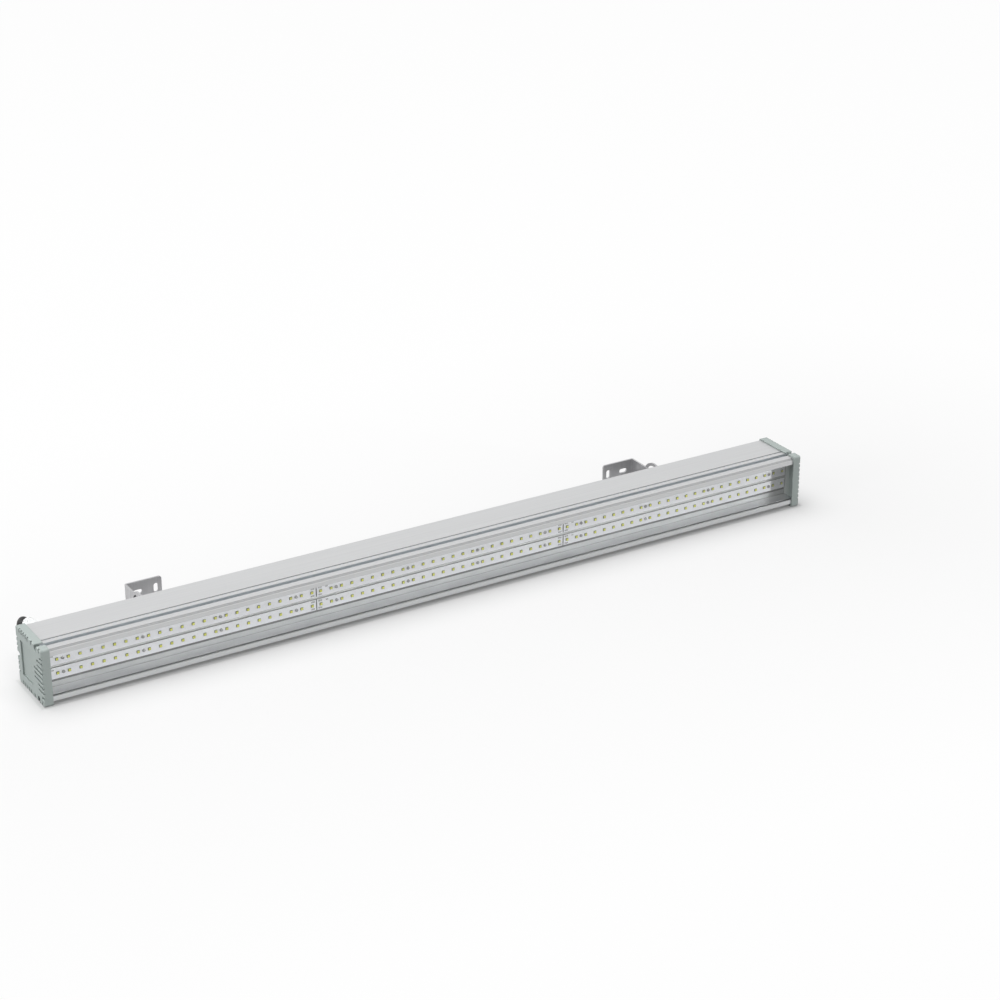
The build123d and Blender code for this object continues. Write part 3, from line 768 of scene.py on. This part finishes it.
def turn_profile(bm, profile, steps, closed=False):
    """Turn a chain of (radius, height) points about Z."""
    verts = [bm.verts.new((radius, 0, height)) for radius, height in profile]
    edges = [bm.edges.new(pair) for pair in zip(verts, verts[1:])]
    if closed:
        edges.append(bm.edges.new((verts[-1], verts[0])))
    bmesh.ops.spin(
        bm, geom=verts + edges, cent=(0, 0, 0), axis=(0, 0, 1), angle=tau, steps=steps,
        use_merge=True,
    )
    bmesh.ops.remove_doubles(bm, verts=bm.verts, dist=SAME_POINT)
    bmesh.ops.recalc_face_normals(bm, faces=bm.faces)


def to_mesh(bm, name):
    """Turn a bmesh into a mesh and free it."""
    mesh = bpy.data.meshes.new(name)
    bm.to_mesh(mesh)
    bm.free()
    return mesh


# %% Cutting, copying and placing


def carve(body, tool, operation="DIFFERENCE"):
    """Cut one closed mesh with another, or keep their common part, or join them."""
    steps = []
    for mesh in (body, tool):
        step = bpy.data.objects.new("carve_step", mesh)
        scene.collection.objects.link(step)
        steps.append(step)
    modifier = steps[0].modifiers.new("carve", "BOOLEAN")
    modifier.operation = operation
    modifier.solver = "EXACT"
    modifier.object = steps[1]
    depsgraph = bpy.context.evaluated_depsgraph_get()
    result = bpy.data.meshes.new_from_object(steps[0].evaluated_get(depsgraph))
    for step in steps:
        mesh = step.data
        bpy.data.objects.remove(step)
        bpy.data.meshes.remove(mesh)
    return result


def add_copies(bm, mesh, matrices):
    """Add a copy of a mesh at each of several places."""
    for matrix in matrices:
        start = len(bm.verts)
        bm.from_mesh(mesh)
        bm.verts.ensure_lookup_table()
        bmesh.ops.transform(bm, matrix=matrix, verts=bm.verts[start:])


def add_piece(bm, name, materials, body, replaced=(), smooth=None):
    """Make a finished piece that rides a body, and leave out the solids it stands for."""
    piece = bpy.data.objects.new(name, to_mesh(bm, name))
    scene.collection.objects.link(piece)
    for material in materials:
        piece.data.materials.append(material)
    if smooth is not None:
        piece.data.polygons.foreach_set("use_smooth", [True] * len(piece.data.polygons))
        piece.data.set_sharp_from_angle(angle=smooth)
    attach(piece, body)
    if replaced:
        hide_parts(*replaced)
    return piece


def aim(place, direction):
    """A matrix that puts a form's Z axis along a direction, and its Y axis up."""
    turn = direction.to_track_quat("Z", "Y").to_matrix().to_4x4()
    return Matrix.Translation(place) @ turn


# %% [markdown]
# ## The LEDs
#
# Each LED is a square package, 3 mm wide, with a yellow phosphor field sunk into a darker
# case, on a slightly wider soldered land. The land is painted dark, so that around the
# package it also stands in for shade. One package is made of a bevelled box, whose front
# is inset twice: once for the case's rim, and once more, pushed inwards, for the field. It
# is then copied 25 times onto each board.

# %% Make one LED
LED_BEVEL = 0.1 * MM
LED_RIM = 0.08 * MM
LED_STEP = 0.04 * MM
LED_SINK = 0.06 * MM
LAND_EXTRA = 0.5 * MM
LAND_HEIGHT = 0.12 * MM
CASE, PHOSPHOR, LAND = 0, 1, 2
first_low, first_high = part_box("leds_lower_1")
LED_SIZE = first_high.z - first_low.z
LED_HEIGHT = first_high.y - first_low.y


def make_led():
    """One LED package, with its foot at the origin and its light towards -Y."""
    bm = bmesh.new()
    faces = add_box(bm, (0, -LED_HEIGHT / 2, 0), (LED_SIZE, LED_HEIGHT, LED_SIZE), CASE)
    break_edges(bm, faces, LED_BEVEL)
    bm.normal_update()
    front = min(bm.faces, key=lambda face: face.calc_center_median().y)
    bmesh.ops.inset_region(bm, faces=[front], thickness=LED_RIM)
    bmesh.ops.inset_region(bm, faces=[front], thickness=LED_STEP, depth=-LED_SINK)
    front.material_index = PHOSPHOR
    land = LED_SIZE + LAND_EXTRA
    add_box(bm, (0, -LAND_HEIGHT / 2, 0), (land, LAND_HEIGHT, land), LAND)
    return to_mesh(bm, "led")


led = make_led()
print("LED", round(LED_SIZE / MM, 2), "mm wide with", len(led.polygons), "faces")

# %% Copy it along the boards
LEDS_PER_BOARD = 25


def led_places(row, number):
    """The places of a board's LEDs, read from its solid."""
    low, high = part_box(f"leds_{row}_{number}")
    step = (high.x - low.x - LED_SIZE) / (LEDS_PER_BOARD - 1)
    first = Vector((low.x + LED_SIZE / 2, high.y, (low.z + high.z) / 2))
    return [first + Vector((step * i, 0, 0)) for i in range(LEDS_PER_BOARD)]


led_count = 0
for row in ROWS:
    for number in BOARDS:
        bm = bmesh.new()
        places = led_places(row, number)
        add_copies(bm, led, [Matrix.Translation(place) for place in places])
        materials = (led_case, phosphor, solder_land_painted_shade)
        name = f"led_packages_{row}_{number}"
        add_piece(bm, name, materials, HOUSING, (f"leds_{row}_{number}",))
        led_count += len(places)
print("LEDs:", led_count)

# %% [markdown]
# ## The small parts on the boards
#
# The boards meet at two joints, and beside a joint every board has two pairs of tinned
# pads, one pair above its LEDs and one below, each inside a printed frame. A small
# resistor sits above the row near the left end of each board. On a real board these are
# copper, ink and ceramic, a tenth of a millimetre to half a millimetre high. Each is a
# low box here, and the printed frame is the rim of an inset rectangle.

# %% Make a pair of pads and a resistor
PAD_SIZE = Vector((2.0, 0.14, 1.2)) * MM
PAD_SPACING = 2.2 * MM
PAD_BEVEL = 0.05 * MM
FRAME_SIZE = Vector((4.8, 0.05, 1.9)) * MM
FRAME_LINE = 0.22 * MM
BLOCK_SIZE = Vector((1.5, 0.4, 1.2)) * MM
BLOCK_MIDDLE = 0.25 * MM
END_SIZE = Vector((0.6, 0.6, 1.35)) * MM
END_SPACING = 2.0 * MM
END_BEVEL = 0.15 * MM
TIN_PAD, INK, CERAMIC = 0, 1, 2


def add_frame(bm, size, line):
    """Add a printed frame: a thin plate with its middle taken out."""
    faces = add_box(bm, (0, -size.y / 2, 0), size)
    bm.normal_update()
    flat = [face for face in faces if abs(face.normal.y) > FACES_FRONT]
    bmesh.ops.inset_individual(bm, faces=flat, thickness=line)
    bmesh.ops.delete(bm, geom=flat, context="FACES_ONLY")
    rims = [edge for edge in bm.edges if edge.is_boundary]
    bmesh.ops.bridge_loops(bm, edges=rims)
    for face in bm.faces:
        face.material_index = INK


def make_pads():
    """Two tinned pads side by side in a printed frame."""
    bm = bmesh.new()
    add_frame(bm, FRAME_SIZE, FRAME_LINE)
    for side in (-1, 1):
        centre = (side * PAD_SPACING / 2, -PAD_SIZE.y / 2, 0)
        break_edges(bm, add_box(bm, centre, PAD_SIZE, TIN_PAD), PAD_BEVEL)
    return to_mesh(bm, "pads")


def make_resistor():
    """A resistor: a ceramic block between two soldered ends."""
    bm = bmesh.new()
    add_box(bm, (0, -BLOCK_MIDDLE, 0), BLOCK_SIZE, CERAMIC)
    for side in (-1, 1):
        centre = (side * END_SPACING / 2, -END_SIZE.y / 2, 0)
        break_edges(bm, add_box(bm, centre, END_SIZE, TIN_PAD), END_BEVEL, steps=2)
    return to_mesh(bm, "resistor")


pads = make_pads()
resistor = make_resistor()
print("pads with", len(pads.polygons), "faces, resistor with", len(resistor.polygons))

# %% Put them on the boards
PADS_FROM_END = 3.9 * MM
PADS_OFF_LINE = 4.5 * MM
RESISTOR_FROM_END = 12.4 * MM
RESISTOR_OFF_LINE = 4.0 * MM

for row in ROWS:
    bm = bmesh.new()
    for number in BOARDS:
        low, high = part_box(f"led_board_{row}_{number}")
        line_z = (low.z + high.z) / 2
        joints = []
        if number > BOARDS[0]:
            joints.append(low.x + PADS_FROM_END)
        if number < BOARDS[-1]:
            joints.append(high.x - PADS_FROM_END)
        lifts = (-PADS_OFF_LINE, PADS_OFF_LINE)
        pad_places = [Vector((x, low.y, line_z + lift)) for x in joints for lift in lifts]
        add_copies(bm, pads, [Matrix.Translation(place) for place in pad_places])
        place = Vector((low.x + RESISTOR_FROM_END, low.y, line_z + RESISTOR_OFF_LINE))
        add_copies(bm, resistor, [Matrix.Translation(place)])
    add_piece(bm, f"board_parts_{row}", (tin, ink, ceramic), HOUSING)
print("small parts on", 2 * len(BOARDS), "boards")

# %% [markdown]
# ## The board screws
#
# Small pan-head screws with a cross recess clamp the boards to the housing. The head is a
# turned profile, given in shares of its radius and height, as the cross is. The cross is
# cut with two thin blocks, one after the other, because two blocks that run through each
# other are no clean tool. The screws sit midway between two LEDs, four on each board.

# %% Make one screw and copy it
SCREWS_PER_BOARD = 4
LEDS_BEFORE_SCREW = 2
LEDS_BETWEEN_SCREWS = 7
SCREW_SIDES = 16
SCREW_SHARP = radians(35)
SHANK_SHARE = 0.55
CROSS_TURN = 0.5
CROSS_SHARES = (1.15, 0.24, 0.9)
HEAD_CURVE = ((0, 1), (0.5, 0.97), (0.8, 0.82), (0.96, 0.5), (1, 0.12), (0.97, 0))


def make_screw(radius, height, shank_radius, shank_length):
    """A pan-head screw along Z with its head on the origin and its shank below."""
    bm = bmesh.new()
    profile = [(radius * out, height * up) for out, up in HEAD_CURVE]
    profile += [(shank_radius, 0), (shank_radius, -shank_length), (0, -shank_length)]
    turn_profile(bm, profile, SCREW_SIDES)
    screw = to_mesh(bm, "screw_body")
    along, across, deep = CROSS_SHARES
    for turn in (0, pi / 2):
        slot = bmesh.new()
        add_box(slot, (0, 0, height), (radius * along, radius * across, height * deep))
        turned = Matrix.Rotation(turn + CROSS_TURN, 3, "Z")
        bmesh.ops.rotate(slot, cent=(0, 0, 0), matrix=turned, verts=slot.verts)
        screw = carve(screw, to_mesh(slot, "screw_slot"))
    return screw


for row in ROWS:
    low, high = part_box(f"board_screws_{row}")
    board_low, board_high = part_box(f"led_board_{row}_1")
    head_radius = (high.z - low.z) / 2
    head_height = board_low.y - low.y
    shank_radius = head_radius * SHANK_SHARE
    screw = make_screw(head_radius, head_height, shank_radius, high.y - board_low.y)
    places = []
    for number in BOARDS:
        leds = led_places(row, number)
        for i in range(SCREWS_PER_BOARD):
            after = LEDS_BEFORE_SCREW + i * LEDS_BETWEEN_SCREWS
            middle = (leds[after - 1] + leds[after]) / 2
            places.append(Vector((middle.x, board_low.y, middle.z)))
    bm = bmesh.new()
    add_copies(bm, screw, [aim(place, Vector((0, -1, 0))) for place in places])
    name = f"pan_screws_{row}"
    replaced = (f"board_screws_{row}",)
    add_piece(bm, name, (screw_steel,), HOUSING, replaced, SCREW_SHARP)
    print("row", row, "has", len(places), "screws of", len(screw.polygons), "faces")

# %% [markdown]
# ## The M6 fasteners of the brackets
#
# Two bolts hold each base bracket in the slot along the back, and two more join it to its
# swivel arm: the pivot and the clamp. All are M6 hexagon bolts with a washer and a nut.
# A hexagon's chamfer is the part of the prism that lies inside a wide cone, which gives
# the curved lines on the flats. The thread is a turned zigzag with a pitch of 1 mm.

# %% Make the fastener forms
M6 = 6.0 * MM
M6_FLATS = 10.0 * MM
M6_CORNERS = M6_FLATS / cos(pi / 6)
M6_PITCH = 1.0 * MM
THREAD_DEPTH = 0.55 * M6_PITCH
THREAD_LENGTH = 10.0 * MM
WASHER_EDGE = 0.15 * MM
CHAMFER_START = 0.48
CHAMFER_SIDES = 48
SHANK_SIDES = 24
HOLE_SIDES = 32
WASHER_SIDES = 40


def make_hexagon(height, chamfer_both):
    """A hexagon prism from the origin up, chamfered at its top and perhaps its foot."""
    bm = bmesh.new()
    add_cone(bm, 6, M6_CORNERS / 2, M6_CORNERS / 2, 0, height, turn=pi / 2)
    mesh = to_mesh(bm, "hexagon")
    narrow = M6_FLATS * CHAMFER_START
    wide = narrow + height / tan(pi / 6)
    cones = [(wide, narrow), (narrow, wide)] if chamfer_both else [(wide, narrow)]
    for foot, top in cones:
        tool = bmesh.new()
        add_cone(tool, CHAMFER_SIDES, foot, top, 0, height)
        mesh = carve(mesh, to_mesh(tool, "chamfer"), "INTERSECT")
    return mesh


def make_bolt(head_height, length):
    """A bolt along Z: its head above the origin, its threaded shank below."""
    bm = bmesh.new()
    bm.from_mesh(make_hexagon(head_height, False))
    shank = bmesh.new()
    root = M6 / 2 - THREAD_DEPTH
    plain = max(length - THREAD_LENGTH, 0.0)
    profile = [(0, 0), (M6 / 2, 0), (M6 / 2, -plain)]
    turns = int((length - plain) / M6_PITCH - 0.5)
    for i in range(turns):
        profile.append((root, -plain - (i + 0.5) * M6_PITCH))
        profile.append((M6 / 2, -plain - (i + 1) * M6_PITCH))
    profile += [(root, -length), (0, -length)]
    turn_profile(shank, profile, SHANK_SIDES)
    bm.from_mesh(to_mesh(shank, "shank"))
    return to_mesh(bm, "bolt")


def make_nut(height):
    """A hexagon nut from the origin up, with a round hole."""
    hole = bmesh.new()
    add_cone(hole, HOLE_SIDES, M6 / 2, M6 / 2, -height, 2 * height)
    return carve(make_hexagon(height, True), to_mesh(hole, "hole"))


def make_washer(outer, inner, thickness):
    """A flat washer from the origin up, with slightly broken edges."""
    bm = bmesh.new()
    edge = WASHER_EDGE
    foot = [(inner, edge), (inner + edge, 0), (outer - edge, 0), (outer, edge)]
    profile = foot + [(radius, thickness - height) for radius, height in reversed(foot)]
    turn_profile(bm, profile, WASHER_SIDES, closed=True)
    return to_mesh(bm, "washer")


# %% Place bolts, washers and nuts where their solids are
M6_SHARP = radians(30)
HEAD_HEIGHT = 4.0 * MM
WASHER_RADIUS = 6.0 * MM
WASHER_HOLE = 3.3 * MM


def fastener_places(node_name, along):
    """The two places across the axis, and the low and high end along it."""
    low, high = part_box(node_name)
    half = M6_CORNERS / 2
    z = (low.z + high.z) / 2
    if along == "y":
        return [Vector((x, 0, z)) for x in (low.x + half, high.x - half)], low.y, high.y
    return [Vector((0, y, z)) for y in (low.y + half, high.y - half)], low.x, high.x


def put(mesh, kind, side, spots, start, direction, body):
    """Copy a form to its places, with its origin at a height along the axis."""
    axis = Vector([abs(value) for value in direction])
    bm = bmesh.new()
    add_copies(bm, mesh, [aim(spot + axis * start, direction) for spot in spots])
    replaced = (f"{kind}_{side}",)
    add_piece(bm, f"m6_{kind}_{side}", (zinc,), body, replaced, M6_SHARP)


for side in SIDES:
    spots, low, high = fastener_places(f"slot_bolts_{side}", "y")
    out = Vector((0, 1, 0))
    bolt = make_bolt(HEAD_HEIGHT, high - low - HEAD_HEIGHT)
    put(bolt, "slot_bolts", side, spots, low + HEAD_HEIGHT, -out, HOUSING)
    w_low, w_high = (corner.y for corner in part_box(f"slot_washers_{side}"))
    washer = make_washer(WASHER_RADIUS, WASHER_HOLE, w_high - w_low)
    put(washer, "slot_washers", side, spots, w_low, out, HOUSING)
    n_low, n_high = (corner.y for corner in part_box(f"slot_nuts_{side}"))
    put(make_nut(n_high - n_low), "slot_nuts", side, spots, n_low, out, HOUSING)

    arm = f"{side}_arm"
    spots, low, high = fastener_places(f"arm_bolts_{side}", "x")
    rightwards = side == "right"
    out = Vector((1 if rightwards else -1, 0, 0))
    seat = high - HEAD_HEIGHT if rightwards else low + HEAD_HEIGHT
    bolt = make_bolt(HEAD_HEIGHT, high - low - HEAD_HEIGHT)
    put(bolt, "arm_bolts", side, spots, seat, out, arm)
    w_low, w_high = (corner.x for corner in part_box(f"arm_washers_{side}"))
    washer = make_washer(WASHER_RADIUS, WASHER_HOLE, w_high - w_low)
    put(washer, "arm_washers", side, spots, w_low if rightwards else w_high, out, arm)
    n_low, n_high = (corner.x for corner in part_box(f"arm_nuts_{side}"))
    nut = make_nut(n_high - n_low)
    put(nut, "arm_nuts", side, spots, n_low if rightwards else n_high, out, arm)

# %% [markdown]
# ## The gland's cap nut
#
# The gland is a white nylon M12 gland. Its cap nut has a hexagon for the wrench and a
# domed front with grip flutes, and a rounded mouth where the cable comes out. The
# hexagon is chamfered as on the bolts, and the flutes are cut with a ring of thin
# cylinders that lean inwards. The dome is a turned profile, whose points are millimetres
# from the hexagon's flats and front at its foot, and from its mouth's edge at its end.

# %% Make the cap nut
GLAND_HEX = 11.0 * MM
GLAND_CHAMFER_START = 0.5
GLAND_MOUTH = 6.3 * MM
GLAND_HOLE = 3.8 * MM
GLAND_SIDES = 48
GLAND_SHARP = radians(35)
GLAND_FLUTES = 12
FLUTE_SIDES = 12
FLUTE_RADIUS = 0.9 * MM
FLUTE_START = 1.5 * MM
FLUTE_INSET = 0.1 * MM
FLUTE_LEAN = 0.13
OVERSHOOT = 1.0 * MM
DOME_FOOT = ((-0.4, -0.5), (-0.3, 2.0), (-0.9, 6.0))
DOME_MOUTH = ((0.7, -2.6), (0.0, -1.0), (-1.0, 0.0))


def make_gland_nut(low, high):
    """The cap nut along Z from the origin up, with the cable's hole through it."""
    flats = high.z - low.z
    corners = flats / cos(pi / 6)
    length = high.y - low.y
    bm = bmesh.new()
    add_cone(bm, 6, corners / 2, corners / 2, 0, GLAND_HEX, turn=pi / 2)
    body = to_mesh(bm, "gland_hexagon")
    tool = bmesh.new()
    narrow = flats * GLAND_CHAMFER_START
    add_cone(tool, CHAMFER_SIDES, narrow + GLAND_HEX / tan(pi / 6), narrow, 0, GLAND_HEX)
    body = carve(body, to_mesh(tool, "chamfer"), "INTERSECT")
    foot = [(flats / 2 + out * MM, GLAND_HEX + up * MM) for out, up in DOME_FOOT]
    mouth = [(GLAND_MOUTH + out * MM, length + up * MM) for out, up in DOME_MOUTH]
    dome = bmesh.new()
    turn_profile(dome, [(0, foot[0][1]), *foot, *mouth, (0, length)], GLAND_SIDES)
    dome = to_mesh(dome, "gland_dome")
    flute = bmesh.new()
    flute_end = length - GLAND_HEX + OVERSHOOT
    add_cone(flute, FLUTE_SIDES, FLUTE_RADIUS, FLUTE_RADIUS, FLUTE_START, flute_end)
    reach = Matrix.Translation((flats / 2 - FLUTE_INSET, 0, GLAND_HEX))
    leaning = reach @ Matrix.Rotation(-FLUTE_LEAN, 4, "Y")
    turns = [Matrix.Rotation(tau * i / GLAND_FLUTES, 4, "Z") for i in range(GLAND_FLUTES)]
    flutes = bmesh.new()
    add_copies(flutes, to_mesh(flute, "flute"), [turn @ leaning for turn in turns])
    dome = carve(dome, to_mesh(flutes, "flutes"))
    whole = carve(body, dome, "UNION")
    hole = bmesh.new()
    add_cone(hole, GLAND_SIDES, GLAND_HOLE, GLAND_HOLE, -OVERSHOOT, length + OVERSHOOT)
    return carve(whole, to_mesh(hole, "gland_hole"))


low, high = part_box("gland_nut")
gland_middle = (low + high) / 2
gland_foot = Vector((gland_middle.x, low.y, gland_middle.z))
bm = bmesh.new()
gland_nut = make_gland_nut(low, high)
add_copies(bm, gland_nut, [aim(gland_foot, Vector((0, 1, 0)))])
add_piece(bm, "gland_cap_nut", (nylon,), HOUSING, ("gland_nut",), GLAND_SHARP)
print("cap nut:", [round(v / MM, 1) for v in high - low])

# %% [markdown]
# ## The supply cable
#
# A short black cable leaves the gland, drops to the ground and runs back along the
# housing to its cut end. It is one smooth NURBS curve with a round bevel for its sheath.
# Each step of its route says how far along and out from the gland a point is, in
# millimetres, and at which share of the gland's height. The order of the curve is set
# after its points, because a curve that has too few points when the order is set falls
# back to straight runs.

# %% Lay the cable
CABLE_DIAMETER = 7.0 * MM
SEAL_RECESS = 3.0 * MM
GROUND_GAP = 0.1 * MM
CABLE_STEPS = (
    (0.0, 0.0, 1.0),
    (0.0, 8.7, 1.0),
    (0.0, 18.9, 0.929),
    (0.0, 27.2, 0.794),
    (0.7, 32.7, 0.611),
    (3.0, 35.0, 0.405),
    (8.4, 34.7, 0.222),
    (16.4, 31.9, 0.086),
    (25.7, 26.5, 0.014),
    (35.0, 18.6, 0.0),
    (43.6, 9.1, 0.0),
    (53.4, -0.1, 0.0),
    (64.8, -7.3, 0.0),
    (77.5, -11.7, 0.0),
    (91.0, -13.7, 0.0),
    (105.0, -14.2, 0.0),
)
cable_start = Vector((gland_middle.x, high.y - SEAL_RECESS, gland_middle.z))
cable_ground = CABLE_DIAMETER / 2 + GROUND_GAP
cable_route = [
    Vector((
        cable_start.x + along * MM,
        cable_start.y + out * MM,
        cable_ground + share * (cable_start.z - cable_ground),
    ))
    for along, out, share in CABLE_STEPS
]


def make_cable(name, route, diameter):
    """A smooth round cable along the route's points."""
    curve = bpy.data.curves.new(name, "CURVE")
    curve.dimensions = "3D"
    spline = curve.splines.new("NURBS")
    spline.points.add(len(route) - 1)
    for point, place in zip(spline.points, route):
        point.co = (*place, 1.0)
    spline.order_u = 3
    spline.use_endpoint_u = True
    spline.resolution_u = 12
    curve.bevel_depth = diameter / 2
    curve.bevel_resolution = 8
    curve.use_fill_caps = True
    curve.materials.append(cable_sheath)
    cable = bpy.data.objects.new(name, curve)
    scene.collection.objects.link(cable)
    return cable


# %% [markdown]
# The cable's end is cut square. Three insulated cores stand out of the sheath by a
# millimetre or two, and a bare copper end shows in each.

# %% Show the cores at the cut end
CORE_RADIUS = 0.95 * MM
CORE_RING = 1.45 * MM
CORE_OUT = 1.6 * MM
CORE_ROOT = 2.0 * MM
COPPER_RADIUS = 0.5 * MM
COPPER_OUT = 2.4 * MM
CORE_SIDES = 16
COPPER_SIDES = 12
CORE_SHARP = radians(40)


def make_cores(place, direction):
    """Three cores around the cable's axis, with copper ends."""
    bm = bmesh.new()
    cores = bmesh.new()
    for i in range(len(wires)):
        turn = Matrix.Rotation(tau * i / len(wires), 4, "Z")
        place_core = turn @ Matrix.Translation((CORE_RING, 0, 0))
        start = len(cores.verts)
        add_cone(cores, CORE_SIDES, CORE_RADIUS, CORE_RADIUS, -CORE_ROOT, CORE_OUT, material=i)
        add_cone(
            cores, COPPER_SIDES, COPPER_RADIUS, COPPER_RADIUS, 0, COPPER_OUT, material=len(wires)
        )
        cores.verts.ensure_lookup_table()
        bmesh.ops.transform(cores, matrix=place_core, verts=cores.verts[start:])
    add_copies(bm, to_mesh(cores, "cores"), [aim(place, direction)])
    materials = (*wires, copper)
    return add_piece(bm, "cable_cores", materials, HOUSING, (), CORE_SHARP)


cable = make_cable("supply_cable_curve", cable_route, CABLE_DIAMETER)
cores = make_cores(cable_route[-1], (cable_route[-1] - cable_route[-2]).normalized())
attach(cable, HOUSING)
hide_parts("supply_cable")
print("cable from", [round(v / MM, 1) for v in cable_start])
